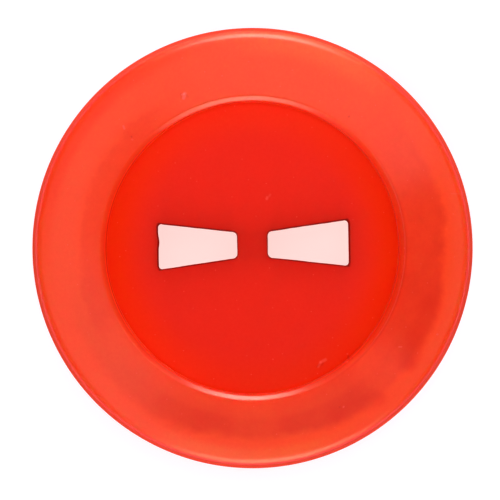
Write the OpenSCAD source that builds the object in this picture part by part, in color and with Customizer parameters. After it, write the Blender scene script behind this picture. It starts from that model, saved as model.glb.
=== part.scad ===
// Sew-through button, moulded in one piece: a flat back, a crowned rim around a round well,
// and two wedge-shaped thread holes through the floor of the well, wide ends outwards.
// The origin is the centre of the back, +Z is the face and +X runs along the row of holes.

/* [Body] */
// Diameter over the outer edge
outer_d = 22.86; // [20:0.02:27]
// Height from the flat back to the top of the rim
thickness = 3.6; // [3:0.1:5]
// Rounding between the back and the outer edge
back_edge_r = 1.1; // [0.4:0.05:1.4]
// Rounding between the rim and the outer edge
shoulder_r = 0.9; // [0.4:0.05:1]

/* [Rim] */
// Radius of the curve that crowns the rim from the well to the shoulder
crown_r = 12.5; // [9:0.5:30]
// Distance from the axis at which that curve would run level
crown_level = 6.8; // [4:0.1:7.4]
// Rounding between the rim and the bevel of its lip
lip_r = 0.15; // [0.05:0.05:0.4]
// Length of the bevel that leads from the lip down to the well
bevel_l = 0.2; // [0.05:0.05:0.4]
// Slope of that bevel from level, in degrees
bevel_slope = 35; // [20:5:60]
// Rounding between the bevel and the well's wall
wall_edge_r = 0.15; // [0.05:0.05:0.3]

/* [Well] */
// Diameter of the well just inside its lip
well_d = 15.14; // [13:0.02:17]
// Depth of the well below the top of the rim
well_depth = 0.8; // [0.6:0.1:1.6]
// Lean of the well's wall from upright, in degrees
well_draft = 4; // [2:1:30]
// Rounding at the foot of the well's wall
foot_r = 0.05; // [0.05:0.05:0.25]

/* [Thread holes] */
// Length of each hole, from its narrow end to its wide end
hole_l = 4.25; // [3:0.05:5]
// Width of a hole at its narrow end, beside the bridge
hole_narrow_w = 1.33; // [0.9:0.01:2]
// Width of a hole at its wide end
hole_wide_w = 2.42; // [2:0.02:3.6]
// Width of the bridge between the two narrow ends
bridge_w = 1.6; // [1:0.05:2.4]
// Rounding of the corners at the narrow end
narrow_corner_r = 0.26; // [0.05:0.01:0.35]
// Rounding of the corners at the wide end
wide_corner_r = 0.18; // [0.05:0.01:0.4]
// Distance of the row of holes from the button's centre, along +Y
hole_offset = 0.17; // [0:0.01:0.4]

/* [Hidden] */

// Straight pieces in each rounded stretch of an outline, and around the button
arc_steps = 8;
round_steps = 180;

outer_r = outer_d / 2;
floor_z = thickness - well_depth;
// How far the cut for a hole runs past the two faces that it opens
overrun = well_depth;

// Centre of each rounded stretch of the section, as [distance from the axis, height].
// The lip and the shoulder both touch the crown from inside.
back_c = [outer_r - back_edge_r, back_edge_r];
lip_to_edge = (lip_r - wall_edge_r) * direction(90 + bevel_slope) - bevel_l * direction(bevel_slope);
lip_c = [well_d / 2 + wall_edge_r - lip_to_edge.x, thickness - lip_r];
edge_c = lip_c + lip_to_edge;
inner_tilt = asin((lip_c.x - crown_level) / (crown_r - lip_r));
crown_c = [crown_level, lip_c.y - (crown_r - lip_r) * cos(inner_tilt)];
shoulder_x = outer_r - shoulder_r;
outer_tilt = asin((shoulder_x - crown_level) / (crown_r - shoulder_r));
shoulder_c = [shoulder_x, crown_c.y + (crown_r - shoulder_r) * cos(outer_tilt)];
// The well's wall runs straight from its upper edge down to the rounding at its foot.
wall_top = edge_c + wall_edge_r * direction(180 - well_draft);
foot_y = floor_z + foot_r;
wall_drop = wall_top.y - foot_y + foot_r * sin(well_draft);
foot_c = [wall_top.x - wall_drop * tan(well_draft) - foot_r * cos(well_draft), foot_y];

function direction(angle) = [cos(angle), sin(angle)];

// Points along an arc, leaving out the first and last where they belong to its neighbours
function arc(centre, radius, from, to, left_out = 0) =
    [for (i = [left_out : arc_steps - left_out])
        centre + radius * direction(from + (to - from) * i / arc_steps)];

function heading(from, to) = atan2(to.y - from.y, to.x - from.x);

// Arc that rounds the corner of an anticlockwise outline
function rounded_corner(before, corner, after, radius) =
    let (
        first = heading(before, corner) - 90,
        turn = (heading(corner, after) - heading(before, corner) + 360) % 360,
        centre = corner - radius / cos(turn / 2) * direction(first + turn / 2)
    )
    arc(centre, radius, first, first + turn);

// Half of the button's section, from the axis outwards along the back and home over the rim
function half_section() = concat(
    [[0, 0]],
    arc(back_c, back_edge_r, -90, 0),
    arc(shoulder_c, shoulder_r, 0, 90 - outer_tilt),
    arc(crown_c, crown_r, 90 - outer_tilt, 90 - inner_tilt, left_out = 1),
    arc(lip_c, lip_r, 90 - inner_tilt, 90 + bevel_slope),
    arc(edge_c, wall_edge_r, 90 + bevel_slope, 180 - well_draft),
    arc(foot_c, foot_r, -well_draft, -90),
    [[0, floor_z]]
);

// Outline of the hole on the +X side, with its narrow end beside the bridge
module hole_outline() {
    near = bridge_w / 2;
    far = near + hole_l;
    corners = [
        [near, -hole_narrow_w / 2],
        [far, -hole_wide_w / 2],
        [far, hole_wide_w / 2],
        [near, hole_narrow_w / 2]
    ];
    radii = [narrow_corner_r, wide_corner_r, wide_corner_r, narrow_corner_r];
    count = len(corners);
    polygon([for (i = [0 : count - 1]) each rounded_corner(
        corners[(i + count - 1) % count], corners[i], corners[(i + 1) % count], radii[i])]);
}

module thread_holes() {
    for (side = [0, 180])
        translate([0, hole_offset, -overrun])
            rotate(side)
                linear_extrude(floor_z + 2 * overrun)
                    hole_outline();
}

module button() {
    color("#f02512")
        difference() {
            rotate_extrude($fn = round_steps)
                polygon(half_section());
            thread_holes();
        }
}

button();
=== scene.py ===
import math

import bpy
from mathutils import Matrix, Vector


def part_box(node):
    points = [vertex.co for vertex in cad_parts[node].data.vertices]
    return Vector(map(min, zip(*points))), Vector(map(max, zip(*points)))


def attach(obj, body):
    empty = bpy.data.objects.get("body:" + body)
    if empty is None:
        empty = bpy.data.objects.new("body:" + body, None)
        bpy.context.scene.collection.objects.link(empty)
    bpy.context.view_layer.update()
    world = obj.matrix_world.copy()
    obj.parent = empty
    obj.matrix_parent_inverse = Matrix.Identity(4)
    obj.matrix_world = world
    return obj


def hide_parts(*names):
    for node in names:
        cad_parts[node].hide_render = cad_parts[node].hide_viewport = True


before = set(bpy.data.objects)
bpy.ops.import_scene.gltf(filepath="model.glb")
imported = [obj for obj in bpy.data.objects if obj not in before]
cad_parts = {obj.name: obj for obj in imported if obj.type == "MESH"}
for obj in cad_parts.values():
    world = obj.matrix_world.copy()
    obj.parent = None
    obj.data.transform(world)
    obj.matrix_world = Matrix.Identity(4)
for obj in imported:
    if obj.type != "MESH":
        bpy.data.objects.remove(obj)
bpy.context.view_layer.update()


# The button
# One piece of translucent red plastic, pressed in a two-part mould, which gives it its flat back, its
# crowned rim and its well. Two wedge-shaped pins in the mould leave the thread holes.

MM = 0.001
RIGHT_ANGLE = math.pi / 2
cad_low, cad_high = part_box("button")

SIZES = {
    "Outer Radius": (cad_high.x - cad_low.x) / 2,
    "Thickness": cad_high.z - cad_low.z,
    "Back Edge Radius": 1.1 * MM,
    "Shoulder Radius": 0.9 * MM,
    "Crown Radius": 12.5 * MM,
    "Crown Level": 6.8 * MM,
    "Lip Radius": 0.15 * MM,
    "Bevel Length": 0.2 * MM,
    "Bevel Slope": math.radians(35),
    "Wall Edge Radius": 0.15 * MM,
    "Well Radius": 7.57 * MM,
    "Well Depth": 0.8 * MM,
    "Well Draft": math.radians(4),
    "Foot Radius": 0.008 * MM,
    "Hole Length": 4.25 * MM,
    "Narrow Width": 1.33 * MM,
    "Wide Width": 2.42 * MM,
    "Bridge Width": 1.6 * MM,
    "Narrow Corner": 0.26 * MM,
    "Wide Corner": 0.18 * MM,
    "Hole Offset": 0.17 * MM,
    "Hole Edge": 0.03 * MM,
    "Flash Inset": 0.11 * MM,
    "Flash Bump": 0.045 * MM,
    "Flash Spread": 0.45 * MM,
    "Flat Margin": 0.05 * MM,
    "Ragged Depth": 0.03 * MM,
    "Ragged Seed": 4.0,
}
# Points around the axis, in a rounded stretch of the section, along a hole's outline and in its corners
ROUND_POINTS = 288
ARC_POINTS = 14
HOLE_POINTS = 260
FILLET_POINTS = 10
# Points that are closer than this are welded
WELD = 0.0005 * MM
# Features of the ragged outline for each metre, and how fine they are
RAGGED_SCALE = 900.0
RAGGED_DETAIL = 3.0


class Wire:
    """A socket of a node tree. Arithmetic on wires adds Math nodes to that tree."""

    def __init__(self, tree, socket=None):
        self.tree = tree
        self.socket = socket

    def node(self, kind, settings=(), inputs=(), output=0):
        """Adds a node: its settings are set first, then its inputs are given values or linked."""
        made = self.tree.nodes.new(kind)
        for name, value in dict(settings).items():
            setattr(made, name, value)
        for name, value in dict(inputs).items():
            for item in value if isinstance(value, list) else [value]:
                if isinstance(item, Wire):
                    self.tree.links.new(item.socket, made.inputs[name])
                else:
                    made.inputs[name].default_value = item
        return Wire(self.tree, made.outputs[output] if made.outputs else None)

    def output(self, name):
        return Wire(self.tree, self.socket.node.outputs[name])

    def math(self, operation, *others):
        values = dict(enumerate((self, *others)))
        return self.node("ShaderNodeMath", {"operation": operation}, values)

    def reflected(self, operation, other):
        return self.node("ShaderNodeMath", {"operation": operation}, {0: other, 1: self})

    def __add__(self, other):
        return self.math("ADD", other)

    def __radd__(self, other):
        return self.reflected("ADD", other)

    def __sub__(self, other):
        return self.math("SUBTRACT", other)

    def __rsub__(self, other):
        return self.reflected("SUBTRACT", other)

    def __mul__(self, other):
        return self.math("MULTIPLY", other)

    def __rmul__(self, other):
        return self.reflected("MULTIPLY", other)

    def __truediv__(self, other):
        return self.math("DIVIDE", other)

    def __rtruediv__(self, other):
        return self.reflected("DIVIDE", other)

    def __neg__(self):
        return self * -1

    def step(self, low, high):
        """0 up to low, 1 from high on, and a smooth rise between them; high below low falls instead."""
        return self.node("ShaderNodeMapRange", {"interpolation_type": "SMOOTHSTEP"}, {
            "Value": self, "From Min": low, "From Max": high})

    def towards(self, middle, end, full):
        """For a bearing in degrees: 1 up to full from the middle, either way round, and 0 from end on.

        With end below full it is 0 near the middle and 1 away from it.
        """
        return (self - middle).math("WRAP", 180, -180).math("ABSOLUTE").step(end, full)

    def blend(self, first, second):
        """The first colour where the wire is 0, the second where it is 1."""
        return self.node("ShaderNodeMix", {"data_type": "RGBA"}, {0: self, 6: first, 7: second}, output=2)


def button_tree(material):
    """Geometry Nodes that sweep the section round the axis, line the holes and fill the flats."""
    tree = bpy.data.node_groups.new("moulded_button", "GeometryNodeTree")
    tree.is_modifier = True
    tree.interface.new_socket("Geometry", in_out="OUTPUT", socket_type="NodeSocketGeometry")
    for name in SIZES:
        tree.interface.new_socket(name, in_out="INPUT", socket_type="NodeSocketFloat")
    new = Wire(tree).node
    given = new("NodeGroupInput")
    size = {name: given.output(name) for name in SIZES}

    def point(x, z):
        return new("ShaderNodeCombineXYZ", inputs={"X": x, "Y": z})

    def arc(x, z, radius, start, end):
        curve = new("GeometryNodeCurveArc", {"mode": "RADIUS"}, {
            "Resolution": ARC_POINTS, "Radius": radius, "Start Angle": start, "Sweep Angle": end - start})
        return new("GeometryNodeTransform", inputs={"Geometry": curve, "Translation": point(x, z)})

    def line(start, end):
        return new("GeometryNodeCurvePrimitiveLine", {"mode": "POINTS"}, {
            "Start": point(*start), "End": point(*end)})

    def one_curve(stretches, shift_x):
        """The stretches welded end to end, drawn from shift_x with heights downwards for the sweep."""
        joined = new("GeometryNodeJoinGeometry", inputs={"Geometry": stretches})
        edges = new("GeometryNodeCurveToMesh", inputs={"Curve": joined})
        welded = new("GeometryNodeMergeByDistance", inputs={"Geometry": edges, "Distance": WELD})
        curve = new("GeometryNodeMeshToCurve", inputs={"Mesh": welded})
        moved = new("GeometryNodeTransform", inputs={"Geometry": curve, "Translation": point(shift_x, 0)})
        return new("GeometryNodeTransform", inputs={"Geometry": moved, "Scale": (1, -1, 1)})

    # The turned section, from the flat of the well outwards over the rim to the flat of the back
    outer, top, draft = size["Outer Radius"], size["Thickness"], size["Well Draft"]
    lip, crown, shoulder = size["Lip Radius"], size["Crown Radius"], size["Shoulder Radius"]
    back, foot, margin = size["Back Edge Radius"], size["Foot Radius"], size["Flat Margin"]
    floor_z = top - size["Well Depth"]
    bevel, wall_edge = size["Bevel Length"], size["Wall Edge Radius"]
    slope_sine, slope_cosine = size["Bevel Slope"].math("SINE"), size["Bevel Slope"].math("COSINE")
    edge_x = size["Well Radius"] + wall_edge
    bevel_foot_x = edge_x - wall_edge * slope_sine
    bevel_top_x = bevel_foot_x + bevel * slope_cosine
    lip_x, lip_z = bevel_top_x + lip * slope_sine, top - lip
    bevel_top_z = lip_z + lip * slope_cosine
    bevel_foot_z = bevel_top_z - bevel * slope_sine
    edge_z = bevel_foot_z - wall_edge * slope_cosine
    inner_tilt = ((lip_x - size["Crown Level"]) / (crown - lip)).math("ARCSINE")
    crown_z = lip_z - (crown - lip) * inner_tilt.math("COSINE")
    shoulder_x = outer - shoulder
    outer_tilt = ((shoulder_x - size["Crown Level"]) / (crown - shoulder)).math("ARCSINE")
    shoulder_z = crown_z + (crown - shoulder) * outer_tilt.math("COSINE")
    wall_x = edge_x - wall_edge * draft.math("COSINE")
    wall_z = edge_z + wall_edge * draft.math("SINE")
    foot_z = floor_z + foot
    wall_drop = wall_z - foot_z + foot * draft.math("SINE")
    wall_foot_x = wall_x - wall_drop * draft.math("TANGENT")
    foot_x = wall_foot_x - foot * draft.math("COSINE")
    section = one_curve([
        line((foot_x - margin, floor_z), (foot_x, floor_z)),
        arc(foot_x, foot_z, foot, -RIGHT_ANGLE, -draft),
        line((wall_foot_x, wall_z - wall_drop), (wall_x, wall_z)),
        arc(edge_x, edge_z, wall_edge, 2 * RIGHT_ANGLE - draft, RIGHT_ANGLE + size["Bevel Slope"]),
        line((bevel_foot_x, bevel_foot_z), (bevel_top_x, bevel_top_z)),
        arc(lip_x, lip_z, lip, RIGHT_ANGLE + size["Bevel Slope"], RIGHT_ANGLE - inner_tilt),
        arc(size["Crown Level"], crown_z, crown, RIGHT_ANGLE - inner_tilt, RIGHT_ANGLE - outer_tilt),
        arc(shoulder_x, shoulder_z, shoulder, RIGHT_ANGLE - outer_tilt, 0),
        line((outer, shoulder_z), (outer, back)),
        arc(outer - back, back, back, 0, -RIGHT_ANGLE),
        line((outer - back, 0), (outer - back - margin, 0)),
    ], -outer)
    axis_circle = new("GeometryNodeCurvePrimitiveCircle", {"mode": "RADIUS"}, {
        "Resolution": ROUND_POINTS, "Radius": outer})
    shell = new("GeometryNodeCurveToMesh", inputs={"Curve": axis_circle, "Profile Curve": section})
    shell = new("GeometryNodeFlipFaces", inputs={"Mesh": shell})

    # The wedge-shaped outline of a hole, a little ragged where the flash was torn from it. Some flash is
    # left at the wide end of the hole on the left.
    wedge = new("GeometryNodeCurvePrimitiveQuadrilateral", {"mode": "TRAPEZOID"}, {
        "Bottom Width": size["Narrow Width"], "Top Width": size["Wide Width"], "Offset": 0.0,
        "Height": size["Hole Length"]})
    place = new("GeometryNodeInputPosition")
    at_wide_end = new("ShaderNodeSeparateXYZ", inputs={"Vector": place}, output="Y").math("GREATER_THAN", 0)
    corner = size["Narrow Corner"] + (size["Wide Corner"] - size["Narrow Corner"]) * at_wide_end
    rounded = new("GeometryNodeFilletCurve", {"mode": "POLY"}, {
        "Curve": wedge, "Count": FILLET_POINTS, "Radius": corner})
    outline = new("GeometryNodeResampleCurve", inputs={"Curve": rounded, "Count": HOLE_POINTS})
    middle_x = (size["Bridge Width"] + size["Hole Length"]) / 2
    outline = new("GeometryNodeTransform", inputs={
        "Geometry": outline, "Rotation": (0, 0, -RIGHT_ANGLE), "Translation": point(middle_x, 0)})
    opposite = new("GeometryNodeTransform", inputs={"Geometry": outline, "Rotation": (0, 0, math.pi)})
    outlines = new("GeometryNodeJoinGeometry", inputs={"Geometry": [outline, opposite]})
    outlines = new("GeometryNodeTransform", inputs={
        "Geometry": outlines, "Translation": point(0, size["Hole Offset"])})
    at = new("ShaderNodeSeparateXYZ", inputs={"Vector": place})
    height = at.output("Z")
    wide_end = size["Bridge Width"] / 2 + size["Hole Length"] - size["Wide Corner"]
    at_left_end = (-at).step(wide_end - size["Wide Corner"], wide_end)
    off_bump = (at.output("Y") - size["Flash Spread"]).math("ABSOLUTE")
    flash = size["Flash Inset"] + size["Flash Bump"] * off_bump.step(size["Flash Spread"], 0.0)
    inwards = new("ShaderNodeCombineXYZ", inputs={"X": at_left_end * flash})
    outlines = new("GeometryNodeSetPosition", inputs={"Geometry": outlines, "Offset": inwards})
    noise = new("ShaderNodeTexNoise", {"noise_dimensions": "4D"}, {
        "Vector": place, "W": size["Ragged Seed"], "Scale": RAGGED_SCALE, "Detail": RAGGED_DETAIL})
    offset = new("ShaderNodeVectorMath", {"operation": "SCALE"}, {
        0: new("GeometryNodeInputNormal"), "Scale": (noise - 0.5) * 2 * size["Ragged Depth"]})
    ragged = new("GeometryNodeSetPosition", inputs={"Geometry": outlines, "Offset": offset})

    # The wall of a hole, from the flat of the well down to the flat of the back
    edge = size["Hole Edge"]
    wall = one_curve([
        line((edge + margin, floor_z), (edge, floor_z)),
        arc(edge, floor_z - edge, edge, RIGHT_ANGLE, 2 * RIGHT_ANGLE),
        line((0, floor_z - edge), (0, edge)),
        arc(edge, edge, edge, 2 * RIGHT_ANGLE, 3 * RIGHT_ANGLE),
        line((edge, 0), (edge + margin, 0)),
    ], 0)
    walls = new("GeometryNodeCurveToMesh", inputs={"Curve": ragged, "Profile Curve": wall})

    # The flats of the well and of the back, which fill what the open edges leave
    sides = new("GeometryNodeJoinGeometry", inputs={"Geometry": [shell, walls]})
    face_count = new("GeometryNodeInputMeshEdgeNeighbors", output="Face Count")
    is_open = face_count.math("COMPARE", 1, 0.5)
    above = height.math("GREATER_THAN", floor_z / 2)

    def flat(selection, z, flip):
        loops = new("GeometryNodeMeshToCurve", inputs={"Mesh": sides, "Selection": selection})
        filled = new("GeometryNodeFillCurve", inputs={"Curve": loops})
        if flip:
            filled = new("GeometryNodeFlipFaces", inputs={"Mesh": filled})
        lift = new("ShaderNodeCombineXYZ", inputs={"Z": z})
        return new("GeometryNodeTransform", inputs={"Geometry": filled, "Translation": lift})

    whole = new("GeometryNodeJoinGeometry", inputs={"Geometry": [
        sides, flat(is_open * above, floor_z, False), flat(is_open * (1 - above), 0.0, True)]})
    closed = new("GeometryNodeMergeByDistance", inputs={"Geometry": whole, "Distance": WELD})
    smooth = new("GeometryNodeSetShadeSmooth", inputs={"Geometry": closed})
    real = new("GeometryNodeRealizeInstances", inputs={"Geometry": smooth})
    painted = new("GeometryNodeSetMaterial", inputs={"Geometry": real, "Material": material})
    new("NodeGroupOutput", inputs={"Geometry": painted})
    return tree


NOISE_ROUGHNESS = 0.6
# The share of a mark's width at which it shows in full
STROKE_CORE = 0.2
# Heights in mm above the floor of the well, at the first of which something is 0 and at the second 1
ON_FACE = (-0.1, -0.05)
HOLE_EDGE_HEIGHTS = (-0.3, -0.1)
HOLE_WALL_HEIGHTS = (-0.005, -0.02)


def from_corner(first, second):
    """How far a point is from a corner, given how far it lies past each of the corner's two sides."""
    first, second = first.math("MAXIMUM", 0), second.math("MAXIMUM", 0)
    return (first * first + second * second).math("SQRT")


class Face:
    """Where a point of the plastic lies, in mm and degrees, from the axis and from the nearer hole."""

    def __init__(self, tree):
        self.new = Wire(tree).node
        place = self.new("ShaderNodeTexCoord", output="Object")
        self.place = self.new("ShaderNodeVectorMath", {"operation": "SCALE"}, {0: place, "Scale": 1 / MM})
        self.x = self.new("ShaderNodeSeparateXYZ", inputs={"Vector": self.place})
        self.y, self.z = self.x.output("Y"), self.x.output("Z")
        self.radius = (self.x * self.x + self.y * self.y).math("SQRT")
        self.bearing = self.y.math("ARCTAN2", self.x) * math.degrees(1)

        near_end = SIZES["Bridge Width"] / 2 / MM
        far_end = near_end + SIZES["Hole Length"] / MM
        taper = (SIZES["Wide Width"] - SIZES["Narrow Width"]) / SIZES["Hole Length"] / 2
        corner = SIZES["Wide Corner"] / MM
        self.along = self.x.math("ABSOLUTE")
        half_width = SIZES["Narrow Width"] / 2 / MM + (self.along - near_end) * taper
        self.beside = (self.y - SIZES["Hole Offset"] / MM).math("ABSOLUTE") - half_width
        flash = self.x.math("LESS_THAN", 0) * (SIZES["Flash Inset"] / MM)
        self.beyond = self.along - far_end + flash
        past_end = self.beyond.math("MAXIMUM", near_end - self.along)
        self.from_hole = from_corner(self.beside + corner, past_end + corner) - corner

    def above_well(self, low, high):
        """0 at the low height and 1 at the high one, both from the floor of the well."""
        floor_z = (SIZES["Thickness"] - SIZES["Well Depth"]) / MM
        return self.z.step(floor_z + low, floor_z + high)

    def noise(self, scale, detail, seed, vector=None):
        """Noise about zero, between about -0.5 and 0.5, with its features 1 / scale mm apart."""
        return self.new("ShaderNodeTexNoise", {"noise_dimensions": "4D"}, {
            "Vector": vector or self.place, "W": seed, "Scale": scale, "Detail": detail,
            "Roughness": NOISE_ROUGHNESS}) - 0.5

    def patch(self, side, ring, strength=1.0, radius=None):
        """A patch that lies towards a side, within a ring round the axis."""
        return strength * self.bearing.towards(*side) * (radius or self.radius).step(*ring)

    def strokes(self, marks):
        """How strongly the marks show, with soft edges and only on the face."""
        total = 0
        for x0, y0, x1, y1, width, strength in marks:
            run, rise = x1 - x0, y1 - y0
            from_x, from_y = self.x - x0, self.y - y0
            along = (from_x * run + from_y * rise) / (run * run + rise * rise)
            along = along.math("MINIMUM", 1).math("MAXIMUM", 0)
            off_x, off_y = from_x - along * run, from_y - along * rise
            near = (off_x * off_x + off_y * off_y).math("SQRT").step(width, STROKE_CORE * width)
            total = near * strength + total
        return total * self.above_well(*ON_FACE)


# Painted shade by the holes and on the lower well, and a painted glow by the wall, dimmer at the bottom and
# at the sides
SHADE_BY_HOLES_RED = (0.63, 0.0155, 0.0095, 1)
WELL_RED = (0.86, 0.0232, 0.0124, 1)
LOW_WELL_SHADE_RED = (0.83, 0.0228, 0.0120, 1)
PAINTED_GLOW_RED = (0.92, 0.0290, 0.0074, 1)
LOW_PAINTED_GLOW_RED = (0.84, 0.0255, 0.0068, 1)
SIDE_PAINTED_GLOW_RED = (0.86, 0.0215, 0.0002, 1)
# The painted shade by the holes: how far it reaches from them in mm, where it fades on the bridge and at
# the wide ends, and by how much
SHADE_BY_HOLES_REACH = 0.75
BRIDGE_REACH = (1.2, 0.7)
BRIDGE_FADE = 0.3
WIDE_END_REACH = (-0.6, 0.2)
WIDE_END_FADE = 0.6
# Noises are written as features for each mm, detail and seed
SHADE_BY_HOLES_NOISE = (0.9, 4.0, 2.0)
SHADE_BY_HOLES_CLOUDS = 0.3
# From the lower well, in painted shade, to the upper well, and from the well into the painted glow by its
# wall, in mm
WELL_RISE = (-6, 6)
PAINTED_GLOW_RING = (5.2, 7.2)
# Sides are written as a bearing in degrees, anticlockwise from +X, and how far from it something ends
# and how far it is full
# Where the painted glow is dimmer, at the bottom
LOW_PAINTED_GLOW_SIDE = (-58, 85, 30)


def well_colour(face):
    """Painted shade by the row of holes and on the lower well, and a painted glow towards the wall."""
    # Painted shade by the holes, fading on the bridge and at the wide ends, with clouds in it
    shade_by_holes = (from_corner(face.beside, face.beyond) * (-1 / SHADE_BY_HOLES_REACH)).math("EXPONENT")
    shade_by_holes = shade_by_holes * (1 - BRIDGE_FADE * face.along.step(*BRIDGE_REACH))
    shade_by_holes = shade_by_holes * (1 - WIDE_END_FADE * face.beyond.step(*WIDE_END_REACH))
    # Painted shade on the lower well
    well = face.y.step(*WELL_RISE).blend(LOW_WELL_SHADE_RED, WELL_RED)
    well = (shade_by_holes + SHADE_BY_HOLES_CLOUDS * face.noise(*SHADE_BY_HOLES_NOISE)).blend(well, SHADE_BY_HOLES_RED)
    # The painted glow by the wall, dimmer at the bottom and at the sides
    painted_glow = face.bearing.towards(*LOW_PAINTED_GLOW_SIDE).blend(PAINTED_GLOW_RED, LOW_PAINTED_GLOW_RED)
    painted_glow = (face.x * face.x / (face.radius * face.radius)).blend(painted_glow, SIDE_PAINTED_GLOW_RED)
    return face.radius.step(*PAINTED_GLOW_RING).blend(well, painted_glow)


# The rim's own red, then painted colours: shade low on the rim, a highlight at the top and the bottom,
# shade on the upper left edge, and the dark reflection on the lower right, which the mottling shares, with
# its streaks
RIM_RED = (0.98, 0.0650, 0.0105, 1)
LOW_RIM_SHADE_RED = (0.87, 0.0630, 0.0105, 1)
PAINTED_HIGHLIGHT_RED = (0.98, 0.1000, 0.0160, 1)
OUTER_LEFT_SHADE_RED = (0.98, 0.0400, 0.0080, 1)
DARK_REFLECTION_AND_MOTTLE_RED = (0.76, 0.0300, 0.0060, 1)
REFLECTION_STREAK_RED = (0.74, 0.0170, 0.0030, 1)
# For noise that is drawn out along the rim: the scale of the direction from the axis, and of the distance
AROUND_SCALE = 3
OUTWARD_SCALE = 0.5
PATCH_NOISE = (0.55, 4.0, 5.0)
PATCH_STREAKS = (1.3, 3.0, 7.0)
PATCH_STREAK_SHARE = 0.7
CLOUD_NOISE = (0.8, 4.0, 19.0)
CLOUD_STREAKS = (4.0, 3.0, 37.0)
CLOUD_SHARE = 0.3
# The outer limit of the painted dark reflection, which wanders, frays, and draws in at the bottom and the
# right, in mm
REFLECTION_WANDER = (0.5, 2.0, 9.0)
REFLECTION_FRAY = (2.2, 4.0, 41.0)
FRAY_DEPTH = 0.4
BOTTOM_SIDE = (-90, 28, 10)
BOTTOM_DEPTH = 0.4
RIGHT_SIDE = (0, 35, 15)
RIGHT_DEPTH = 0.2
# Patches of the rim. A ring gives the distances from the axis, in mm, where a patch is 0 and where it is 1.
# A painted dark reflection on the lower right
DARK_REFLECTION = {"side": (-48, 115, 45), "ring": (10.4, 9.8)}
DARK_REFLECTION_LEVEL = 0.8
DARK_REFLECTION_PATCHES = 0.7
# Painted shade on the upper left, inside
SHADE = {"side": (165, 52, 34), "ring": (9.15, 8.7), "strength": 0.42}
# Where the painted dark reflection is held back, low on the inner rim
INNER_BOTTOM = {"side": (-95, 60, 25), "ring": (9.0, 8.6), "strength": 0.45}
# Painted shade low on the rim
LOW_RIM_SHADE = {"side": (-110, 75, 45), "ring": (10.4, 9.4)}
# A painted highlight at the top and the bottom, near the shoulder
HIGHLIGHT_TOP = {"side": (72, 29, 10), "ring": (9.6, 10.6)}
HIGHLIGHT_BOTTOM = {"side": (-92, 32, 12), "ring": (10.1, 10.6)}
# Painted shade: a redder tint that evens out the light on the upper left
OUTER_LEFT_SHADE = {"side": (145, 40, 15), "ring": (10.1, 10.6), "strength": 0.6}
# Paler gaps in the painted dark reflection
FIRST_GAP = (-46, 10, 2)
SECOND_GAP = (-91, 11, 4)
GAP_STRENGTH = 0.4
# Broad dark streaks of painted reflection, each between two points: x, y, x, y and width, in mm, and
# how strongly it shows
DARK_REFLECTION_STREAKS = [
    (4.21, -8.63, 6.36, -7.85, 0.65, 0.5), (9.08, -3.13, 7.91, -5.96, 0.80, 0.65),
    (-4.60, -7.97, -1.60, -9.06, 0.90, 0.25),
]
REFLECTION_STREAK_LEVEL = 0.8


def rim_colour(face):
    """Paler than the well, with painted dark reflection on the lower right, painted shade on the upper left
    and low down, and a painted highlight at the top and the bottom.
    """
    bearing = face.bearing
    around = face.new("ShaderNodeCombineXYZ", inputs={
        "X": face.x / face.radius * AROUND_SCALE, "Y": face.y / face.radius * AROUND_SCALE,
        "Z": face.radius * OUTWARD_SCALE})
    patches = face.noise(*PATCH_NOISE) + PATCH_STREAK_SHARE * face.noise(*PATCH_STREAKS, around)
    # The painted dark reflection on the lower right and the painted shade on the upper left end at a
    # wandering edge
    reflection_edge = face.radius + face.noise(*REFLECTION_WANDER) + BOTTOM_DEPTH * bearing.towards(*BOTTOM_SIDE)
    reflection_edge = reflection_edge + RIGHT_DEPTH * bearing.towards(*RIGHT_SIDE) + FRAY_DEPTH * face.noise(*REFLECTION_FRAY)
    dark_reflection = face.patch(**DARK_REFLECTION, radius=reflection_edge) * (DARK_REFLECTION_LEVEL + DARK_REFLECTION_PATCHES * patches)
    gaps = GAP_STRENGTH * bearing.towards(*FIRST_GAP) + GAP_STRENGTH * bearing.towards(*SECOND_GAP)
    dark_reflection = dark_reflection * (1 - gaps) * (1 - face.patch(**INNER_BOTTOM))
    shade = face.patch(**SHADE, radius=reflection_edge)
    clouds = CLOUD_SHARE * face.noise(*CLOUD_NOISE) + CLOUD_SHARE * face.noise(*CLOUD_STREAKS, around)
    # Painted shade low on the rim and on the upper left edge, and a painted highlight at the top and the
    # bottom
    rim = face.patch(**LOW_RIM_SHADE).blend(RIM_RED, LOW_RIM_SHADE_RED)
    rim = face.patch(**OUTER_LEFT_SHADE).blend(rim, OUTER_LEFT_SHADE_RED)
    rim = face.patch(**HIGHLIGHT_TOP).math("MAXIMUM", face.patch(**HIGHLIGHT_BOTTOM)).blend(rim, PAINTED_HIGHLIGHT_RED)
    # The painted dark reflection and shade, with mottling
    rim = (dark_reflection.math("MAXIMUM", shade) + clouds).blend(rim, DARK_REFLECTION_AND_MOTTLE_RED)
    # Streaks of painted dark reflection
    return (face.strokes(DARK_REFLECTION_STREAKS) * (REFLECTION_STREAK_LEVEL + patches)).blend(rim, REFLECTION_STREAK_RED)


# Painted shade in the well's corner and on the lip, darker on the lower lip
CORNER_SHADE_RED = (0.87, 0.0215, 0.0006, 1)
LIP_SHADE_RED = (0.80, 0.0260, 0.0025, 1)
LOW_LIP_SHADE_RED = (0.70, 0.0230, 0.0025, 1)
CORNER_RING = (7.3, 7.5)
LIP_RING = (7.45, 7.55)
RIM_RING = (7.55, 7.83)
# From the lower to the upper lip, as the sine of the bearing
LIP_RISE = (-0.3, 0.2)
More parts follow.
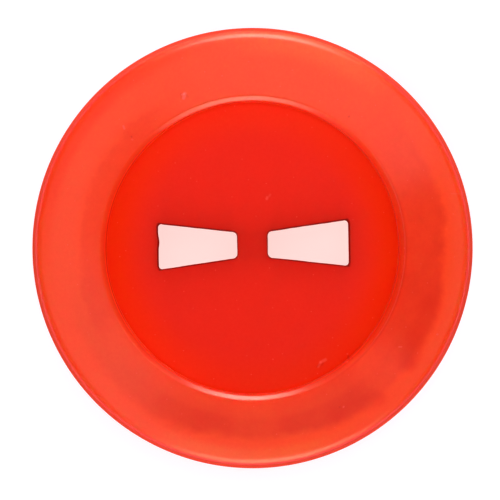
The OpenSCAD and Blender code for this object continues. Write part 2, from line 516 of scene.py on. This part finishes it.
# Tints that even out the light: painted shade on the crest of the lip, painted light on the well's wall
# with painted shade on its right, and painted shade on the outer edge
CREST_SHADE_RED = (0.60, 0.0140, 0.0020, 1)
CREST = {"side": (-12, 55, 25), "ring": (7.74, 7.82), "strength": 0.4}
CREST_END = (8.0, 7.90)
WALL_LIGHT_RED = (1.00, 0.0310, 0.0010, 1)
RIGHT_WALL_SHADE_RED = (0.82, 0.0220, 0.0003, 1)
WALL_START = (7.505, 7.53)
WALL_END = (7.63, 7.58)
RIGHT_WALL_SIDE = (-10, 110, 40)
EDGE_SHADE_RED = (1.00, 0.0120, 0.0040, 1)
EDGE_HEIGHTS = (2.90, 2.72)
EDGE_RING = (9.5, 10)
EDGE_SIDE = (90, 25, 45)


def face_colour(face):
    """The well, its corner and wall, the lip, the rim and the outer edge; corner, lip, crest and edge in
    painted shade, the wall in painted light.
    """
    # Painted shade on the lip, darker below, and in the well's corner
    lip = (face.y / face.radius).step(*LIP_RISE).blend(LOW_LIP_SHADE_RED, LIP_SHADE_RED)
    colour = face.radius.step(*CORNER_RING).blend(well_colour(face), CORNER_SHADE_RED)
    colour = face.radius.step(*LIP_RING).blend(colour, lip)
    colour = face.radius.step(*RIM_RING).blend(colour, rim_colour(face))
    # Painted shade on the crest of the lip, on the right
    crest = face.patch(**CREST) * face.radius.step(*CREST_END)
    colour = crest.blend(colour, CREST_SHADE_RED)
    # Painted light on the well's wall, with painted shade on its right
    wall = face.bearing.towards(*RIGHT_WALL_SIDE).blend(WALL_LIGHT_RED, RIGHT_WALL_SHADE_RED)
    colour = (face.radius.step(*WALL_START) * face.radius.step(*WALL_END)).blend(colour, wall)
    # Painted shade on the outer edge, away from the top, that takes off its pale reflection
    edge = face.z.step(*EDGE_HEIGHTS) * face.radius.step(*EDGE_RING) * face.bearing.towards(*EDGE_SIDE)
    return edge.blend(colour, EDGE_SHADE_RED)


SPECK_RED = (0.62, 0.0100, 0.0040, 1)
NICK_PINK = (0.98, 0.1500, 0.1200, 1)
# Nicks and specks on the face, written as the flow streaks are
PALE_MARKS = [
    (-3.31, 8.01, -3.38, 7.78, 0.13, 0.7), (-3.36, 8.01, -3.46, 7.96, 0.08, 0.5),
    (3.65, -5.84, 3.39, -5.97, 0.12, 0.35), (3.39, -5.97, 3.27, -6.21, 0.09, 0.25),
    (0.79, 2.53, 0.82, 2.60, 0.11, 0.4), (0.93, 2.68, 0.97, 2.74, 0.09, 0.25),
    (-6.51, 6.41, -6.46, 6.28, 0.08, 0.5), (-6.08, 5.71, -6.04, 5.69, 0.07, 0.3),
    (4.78, -5.57, 4.79, -5.57, 0.06, 0.3), (4.74, -5.94, 4.75, -5.95, 0.06, 0.3),
    (7.42, -5.24, 7.56, -5.24, 0.06, 0.4), (9.42, -4.65, 9.45, -4.65, 0.07, 0.4),
    (4.50, -8.28, 4.53, -8.25, 0.07, 0.4), (10.32, 2.59, 10.79, 2.58, 0.07, 0.15),
]
DARK_MARKS = [
    (-3.52, 8.02, -3.50, 7.80, 0.08, 0.25), (-3.22, 7.94, -3.16, 7.84, 0.09, 0.2),
    (3.36, -6.06, 3.20, -6.20, 0.06, 0.5), (3.52, -6.02, 3.46, -6.12, 0.07, 0.4),
    (4.83, -5.69, 4.84, -5.82, 0.08, 0.7), (4.99, -5.70, 5.00, -5.78, 0.06, 0.5),
    (-6.10, 5.86, -6.09, 5.84, 0.07, 0.6), (4.30, -8.28, 4.32, -8.27, 0.07, 0.6),
    (5.08, 6.64, 5.11, 6.67, 0.06, 0.5),
]
# Fine clouds in the dye, and how much they dim and brighten the colour
DYE_NOISE = (6.0, 3.0, 31.0)
DYE_CONTRAST = 1.5
DIM = (0.97, 0.85, 0.85)
BRIGHT = (1.0, 1.15, 1.15)
# Dust: grains for each mm, their size as a share of their spacing, and how strongly they show, which varies
DUST_SCALE = 0.7
DUST_SIZE = (0.032, 0.010)
DUST_LEVEL = 0.25
DUST_NOISE = (0.7, 1.0, 29.0)


def marked_colour(face, colour, pale):
    """The colour with fine clouds in the dye, dark specks, pale nicks and dust."""
    dim = face.new("ShaderNodeVectorMath", {"operation": "MULTIPLY"}, {0: colour, 1: DIM})
    bright = face.new("ShaderNodeVectorMath", {"operation": "MULTIPLY"}, {0: colour, 1: BRIGHT})
    colour = (0.5 + DYE_CONTRAST * face.noise(*DYE_NOISE)).blend(dim, bright)
    colour = face.strokes(DARK_MARKS).blend(colour, SPECK_RED)
    colour = pale.blend(colour, NICK_PINK)
    grain = face.new("ShaderNodeTexVoronoi", {"voronoi_dimensions": "2D"}, {
        "Vector": face.place, "Scale": DUST_SCALE})
    dust = grain.step(*DUST_SIZE) * (DUST_LEVEL + face.noise(*DUST_NOISE)) * face.above_well(*ON_FACE)
    return dust.blend(colour, NICK_PINK)


# Roughness of the polish, and what smudges, wear and nicks add to it
POLISH = 0.11
SMUDGE = 0.1
SMUDGE_NOISE = (0.35, 4.0, 11.0)
SHOULDER_WEAR = 0.13
SHOULDER_RING = (10.6, 10.9)
NICK_ROUGHNESS = 0.2
LIP_WEAR = 0.05
LIP_WEAR_START = (7.5, 7.6)
LIP_WEAR_END = (8.1, 7.9)
LIP_WEAR_FALL = (-0.6, -0.9)


def polish(face, pale):
    """How rough the polished surface is, with smudges, worn edges and nicks."""
    smudge = face.noise(*SMUDGE_NOISE).math("MAXIMUM", 0)
    roughness = POLISH + SMUDGE * smudge + SHOULDER_WEAR * face.radius.step(*SHOULDER_RING)
    worn_lip = face.radius.step(*LIP_WEAR_START) * face.radius.step(*LIP_WEAR_END)
    worn_lip = worn_lip * (face.y / face.radius).step(*LIP_WEAR_FALL)
    return roughness + NICK_ROUGHNESS * pale + LIP_WEAR * worn_lip


# Painted shade: dark colours for the holes' walls and edges, lighter at the wide ends, and a darker red for
# the band round the outer wall
DARK_HOLE_SHADE_RED = (0.18, 0.0050, 0.0030, 1)
MID_HOLE_SHADE_RED = (0.34, 0.0080, 0.0060, 1)
HOLE_END_SHADE_RED = (0.50, 0.0120, 0.0090, 1)
OUTLINE_SHADE_RED = (0.86, 0.0600, 0.0330, 1)
HOLE_SHADE_NOISE = (2.0, 3.0, 23.0)
END_REACH = (-0.12, -0.03)
# The torn edge of a hole, in mm from its outline: a soft painted shade, and a dark painted line except at
# the wide end
HOLE_EDGE_SHADE = 0.35
HOLE_EDGE_SHADE_REACH = 0.09
HOLE_EDGE_DARK_LINE = (0.085, 0.045)
HOLE_EDGE_LINE_END = (0.03, -0.03)
HOLE_WALL_REACH = (0.05, 0.02)
# A matte band round the outer wall, in painted shade, for the line that outlines the button from above
OUTLINE_BAND_TOP = (2.74, 2.64)
OUTLINE_BAND_FOOT = (2.2, 2.35)
OUTLINE_BAND_RING = (10.5, 11)


def matte_parts(face):
    """Where the plastic is matte, and its colour there, all painted shade: the holes' walls and torn edges,
    and the band.
    """
    # Painted shade round each hole, and a dark painted line at its edge except at the wide end
    hole_edge_shade = HOLE_EDGE_SHADE * (face.from_hole.math("MAXIMUM", 0) * (-1 / HOLE_EDGE_SHADE_REACH)).math("EXPONENT")
    hole_edge_shade = hole_edge_shade.math("MAXIMUM", face.from_hole.step(*HOLE_EDGE_DARK_LINE) * face.beyond.step(*HOLE_EDGE_LINE_END))
    hole_edge_shade = hole_edge_shade * face.above_well(*HOLE_EDGE_HEIGHTS)
    # The holes' walls, painted dark as in shade
    hole_wall = face.from_hole.step(*HOLE_WALL_REACH) * face.above_well(*HOLE_WALL_HEIGHTS)
    # The band round the outer wall, in painted shade
    outline_band = face.z.step(*OUTLINE_BAND_TOP) * face.z.step(*OUTLINE_BAND_FOOT) * face.radius.step(*OUTLINE_BAND_RING)
    dull = (0.5 + face.noise(*HOLE_SHADE_NOISE)).blend(DARK_HOLE_SHADE_RED, MID_HOLE_SHADE_RED)
    dull = face.beyond.step(*END_REACH).blend(dull, HOLE_END_SHADE_RED)
    return hole_wall.math("MAXIMUM", hole_edge_shade).math("MAXIMUM", outline_band), outline_band.blend(dull, OUTLINE_SHADE_RED)


# Slow waves and fine grain of the moulded surface, with their heights in mm
WAVE_NOISE = (0.3, 1.5, 13.0)
WAVE_HEIGHT = 0.012
GRAIN_NOISE = (3.5, 3.0, 17.0)
GRAIN_HEIGHT = 0.0015
PLASTIC_IOR = 1.5
MATTE_ROUGHNESS = 0.8
# How far red, green and blue light soak in
SOAK = {"Subsurface Weight": 1.0, "Subsurface Radius": (1.0, 0.1, 0.05), "Subsurface Scale": 2.5 * MM}


def red_plastic():
    """Dyed plastic that light soaks into, with painted shade by the holes, a painted glow by the wall and a
    paler rim.
    """
    material = bpy.data.materials.new("red_plastic")
    material.use_nodes = True
    material.node_tree.nodes.clear()
    face = Face(material.node_tree)
    pale = face.strokes(PALE_MARKS)
    colour = marked_colour(face, face_colour(face), pale)
    height = WAVE_HEIGHT * face.noise(*WAVE_NOISE) + GRAIN_HEIGHT * face.noise(*GRAIN_NOISE)
    normal = face.new("ShaderNodeBump", inputs={"Strength": 1.0, "Distance": MM, "Height": height})
    glossy = face.new("ShaderNodeBsdfPrincipled", inputs={
        "Base Color": colour, "Roughness": polish(face, pale), "IOR": PLASTIC_IOR, "Normal": normal,
        **SOAK})
    is_matte, dull = matte_parts(face)
    matte = face.new("ShaderNodeBsdfPrincipled", inputs={
        "Base Color": dull, "Roughness": MATTE_ROUGHNESS, "Specular IOR Level": 0.0})
    both = face.new("ShaderNodeMixShader", inputs={"Fac": is_matte, 1: glossy, 2: matte})
    face.new("ShaderNodeOutputMaterial", inputs={"Surface": both})
    return material


plastic = red_plastic()
maker = bpy.data.objects.new("button_maker", bpy.data.meshes.new("button_maker"))
bpy.context.scene.collection.objects.link(maker)
modifier = maker.modifiers.new("moulded_button", "NODES")
modifier.node_group = button_tree(plastic)
for item in modifier.node_group.interface.items_tree:
    if item.in_out == "INPUT":
        modifier[item.identifier] = SIZES[item.name]
bpy.context.view_layer.update()
evaluated = maker.evaluated_get(bpy.context.evaluated_depsgraph_get())
mesh = bpy.data.meshes.new_from_object(evaluated)
mesh.name = "moulded_button"
mesh.materials.clear()
mesh.materials.append(plastic)
bpy.data.objects.remove(maker)
button = bpy.data.objects.new("moulded_button", mesh)
bpy.context.scene.collection.objects.link(button)
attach(button, "root")
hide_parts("button")


# The floor
# A sheet of smooth white paper, wide enough to fill every view, on which the button lies on its back.
# Part of its white is its own glow, which leaves only a faint shadow. Under the button the glow is painted
# shade and painted red bounce light, pink as the ground that shows in the holes is.

FLOOR_HALF = 1.0
FLOOR_GAP = 0.01 * MM
FLOOR_GREY = (0.7, 0.7, 0.7, 1)
SHADE_AND_BOUNCE_GLOW = (0.636, 0.358, 0.387, 1)
OPEN_GLOW = (0.40, 0.42, 0.53, 1)
# The share of the button's radius up to which the floor under it is pink throughout, with the painted shade
# and red bounce light
SHADE_SHARE = 0.7


def white_paper():
    material = bpy.data.materials.new("white_paper")
    material.use_nodes = True
    tree = material.node_tree
    tree.nodes.clear()
    new = Wire(tree).node
    path = new("ShaderNodeLightPath", output="Is Camera Ray")
    seen = path.math("MAXIMUM", path.output("Is Glossy Ray"))
    seen = seen.math("MAXIMUM", path.output("Is Transmission Ray"))
    place = new("ShaderNodeTexCoord", output="Object")
    radius = new("ShaderNodeVectorMath", {"operation": "LENGTH"}, {0: place}, output="Value")
    in_open = radius.step(SHADE_SHARE * SIZES["Outer Radius"], SIZES["Outer Radius"])
    lit = new("ShaderNodeBsdfDiffuse", inputs={"Color": FLOOR_GREY})
    # Painted shade and red bounce light under the button, even white in the open
    own = new("ShaderNodeEmission", inputs={"Color": in_open.blend(SHADE_AND_BOUNCE_GLOW, OPEN_GLOW)})
    white = new("ShaderNodeAddShader", inputs={0: lit, 1: own})
    both = new("ShaderNodeMixShader", inputs={"Fac": seen, 1: lit, 2: white})
    new("ShaderNodeOutputMaterial", inputs={"Surface": both})
    return material


floor_mesh = bpy.data.meshes.new("floor")
corners = [(-FLOOR_HALF, -FLOOR_HALF, 0), (FLOOR_HALF, -FLOOR_HALF, 0),
           (FLOOR_HALF, FLOOR_HALF, 0), (-FLOOR_HALF, FLOOR_HALF, 0)]
floor_mesh.from_pydata(corners, [], [(0, 1, 2, 3)])
floor_mesh.materials.append(white_paper())
floor = bpy.data.objects.new("floor", floor_mesh)
floor.location.z = -FLOOR_GAP
bpy.context.scene.collection.objects.link(floor)


# The light
# A white tent with a hole for the camera overhead and dimmer parts around it. Two low lamps behind and in
# front of the button, each in three layers, fade towards their ends, and three fill lamps don't show in
# reflections. No lamp casts a shadow.

TENT_LEVEL = 0.9
DARK = (0, 0, 0, 1)
WHITE = (1, 1, 1, 1)
# Angles from straight up, in degrees, at which a part of the tent starts and at which it is full
CAMERA_HOLE = (8, 4)
CAMERA_HOLE_DIMMING = 0.98
ALL_ANGLES = (-2, -1)
# The share of the light that each dimmer part takes, its side as on the rim, and its angles
DIM_PARTS = {
    "hood": (0.4, (88, 18, 45), (19, 9)),
    "side of the hood": (0.4, (152, 40, 18), (26, 22)),
    "opening on the right": (0.8, (-8, 36, 22), (41, 33)),
    "front": (0.55, (-82, 58, 30), (42, 32)),
    "left": (0.22, (165, 75, 40), ALL_ANGLES),
    "outer left": (0.45, (150, 55, 25), (35, 42)),
    "outer right": (0.45, (-30, 70, 45), (33, 37)),
}
# A low dim band on both sides of the button
BAND_DIMMING = 0.85
BAND_TOP = (45, 62)
BAND_FOOT = (88, 82)
LEFT_BAND = (180, 75, 35)
RIGHT_BAND = (0, 75, 35)


def light_tent():
    world = bpy.data.worlds.new("light_tent")
    world.use_nodes = True
    tree = world.node_tree
    tree.nodes.clear()
    new = Wire(tree).node
    x = new("ShaderNodeSeparateXYZ", inputs={"Vector": new("ShaderNodeTexCoord", output="Generated")})
    y, z = x.output("Y"), x.output("Z")
    zenith = z.math("ARCCOSINE") * math.degrees(1)
    bearing = y.math("ARCTAN2", x) * math.degrees(1)
    level = TENT_LEVEL * (1 - CAMERA_HOLE_DIMMING * zenith.step(*CAMERA_HOLE))
    for dimming, side, angles in DIM_PARTS.values():
        level = level * (1 - dimming * (bearing.towards(*side) * zenith.step(*angles)))
    beside = bearing.towards(*LEFT_BAND) + bearing.towards(*RIGHT_BAND)
    band = beside * zenith.step(*BAND_TOP) * zenith.step(*BAND_FOOT)
    level = level * (1 - BAND_DIMMING * band)
    light = new("ShaderNodeBackground", inputs={"Color": level.blend(DARK, WHITE)})
    new("ShaderNodeOutputWorld", inputs={"Surface": light})
    return world


# Watts for each square metre of a lamp and each unit of its level
WATTS = 4


def flat_lamp(name, colour, bearing, zenith, distance, width, height, level, reflected=True):
    """A rectangular lamp aimed at the button, as bright to look at as the level says, with no shadow."""
    lamp = bpy.data.lights.new(name, "AREA")
    lamp.shape = "RECTANGLE"
    lamp.size = width
    lamp.size_y = height
    lamp.energy = WATTS * width * height * level
    lamp.color = colour
    lamp.use_shadow = False
    holder = bpy.data.objects.new(name, lamp)
    holder.visible_glossy = reflected
    flat = distance * math.sin(zenith)
    holder.location = (flat * math.cos(bearing), flat * math.sin(bearing), distance * math.cos(zenith))
    holder.rotation_euler = (zenith, 0, bearing + RIGHT_ANGLE)
    bpy.context.scene.collection.objects.link(holder)


COOL_LAMP = (1.0, 0.95, 0.80)
WARM_LAMP = (1.0, 0.93, 0.68)
BACK_WIDTH = 0.26
BACK_LAMP = {
    "colour": COOL_LAMP, "bearing": math.radians(86), "zenith": math.radians(66), "height": 0.15,
    "level": 2.05}
FRONT_WIDTH = 0.38
FRONT_LAMP = {
    "colour": WARM_LAMP, "bearing": math.radians(-84), "zenith": math.radians(70), "height": 0.17,
    "level": 0.98}
# The layers of these two lamps: their distance, the step between them, and their shares of the width
LAMP_DISTANCE = 0.35
LAYER_STEP = 0.004
LAYER_SHARES = (0.4, 0.7, 1.0)
TOP_FILL = {
    "colour": WARM_LAMP, "bearing": 0, "zenith": 0, "distance": 0.8, "width": 0.6, "height": 0.6,
    "level": 0.12, "reflected": False}
SIDE_FILL = {
    "colour": WARM_LAMP, "zenith": math.radians(60), "distance": 0.5, "width": 0.3, "height": 0.2,
    "reflected": False}
RIGHT_LEVEL = 2.0
LEFT_LEVEL = 2.8

bpy.context.scene.world = light_tent()
for layer, share in enumerate(LAYER_SHARES):
    away = LAMP_DISTANCE + LAYER_STEP * layer
    flat_lamp(f"back_lamp_{layer}", distance=away, width=BACK_WIDTH * share, **BACK_LAMP)
    flat_lamp(f"front_lamp_{layer}", distance=away, width=FRONT_WIDTH * share, **FRONT_LAMP)
flat_lamp("top_fill", **TOP_FILL)
flat_lamp("right_fill", bearing=0, level=RIGHT_LEVEL, **SIDE_FILL)
flat_lamp("left_fill", bearing=math.pi, level=LEFT_LEVEL, **SIDE_FILL)


# The camera
# It looks straight down through a long lens, turned by about a degree and set a little off the
# button's centre.

ROLL = math.radians(-1.2)
CAMERA_HEIGHT = 146.3 * MM
LENS = 200
NEAREST = 0.001
# The size of a pixel at the button's outline, and how many of them the button lies right of and above
# the picture's middle
PIXEL = 0.05206 * MM
RIGHT_PIXELS = 2.5
UP_PIXELS = 1.9
right = (math.cos(ROLL), math.sin(ROLL))
up = (-math.sin(ROLL), math.cos(ROLL))
camera = bpy.data.objects.new("camera", bpy.data.cameras.new("camera"))
camera.data.lens = LENS
camera.data.clip_start = NEAREST
camera.location = (
    -PIXEL * (RIGHT_PIXELS * right[0] + UP_PIXELS * up[0]),
    -PIXEL * (RIGHT_PIXELS * right[1] + UP_PIXELS * up[1]),
    CAMERA_HEIGHT)
camera.rotation_euler = (0, 0, ROLL)
bpy.context.scene.collection.objects.link(camera)
bpy.context.scene.camera = camera
bpy.context.scene.view_settings.view_transform = "Standard"
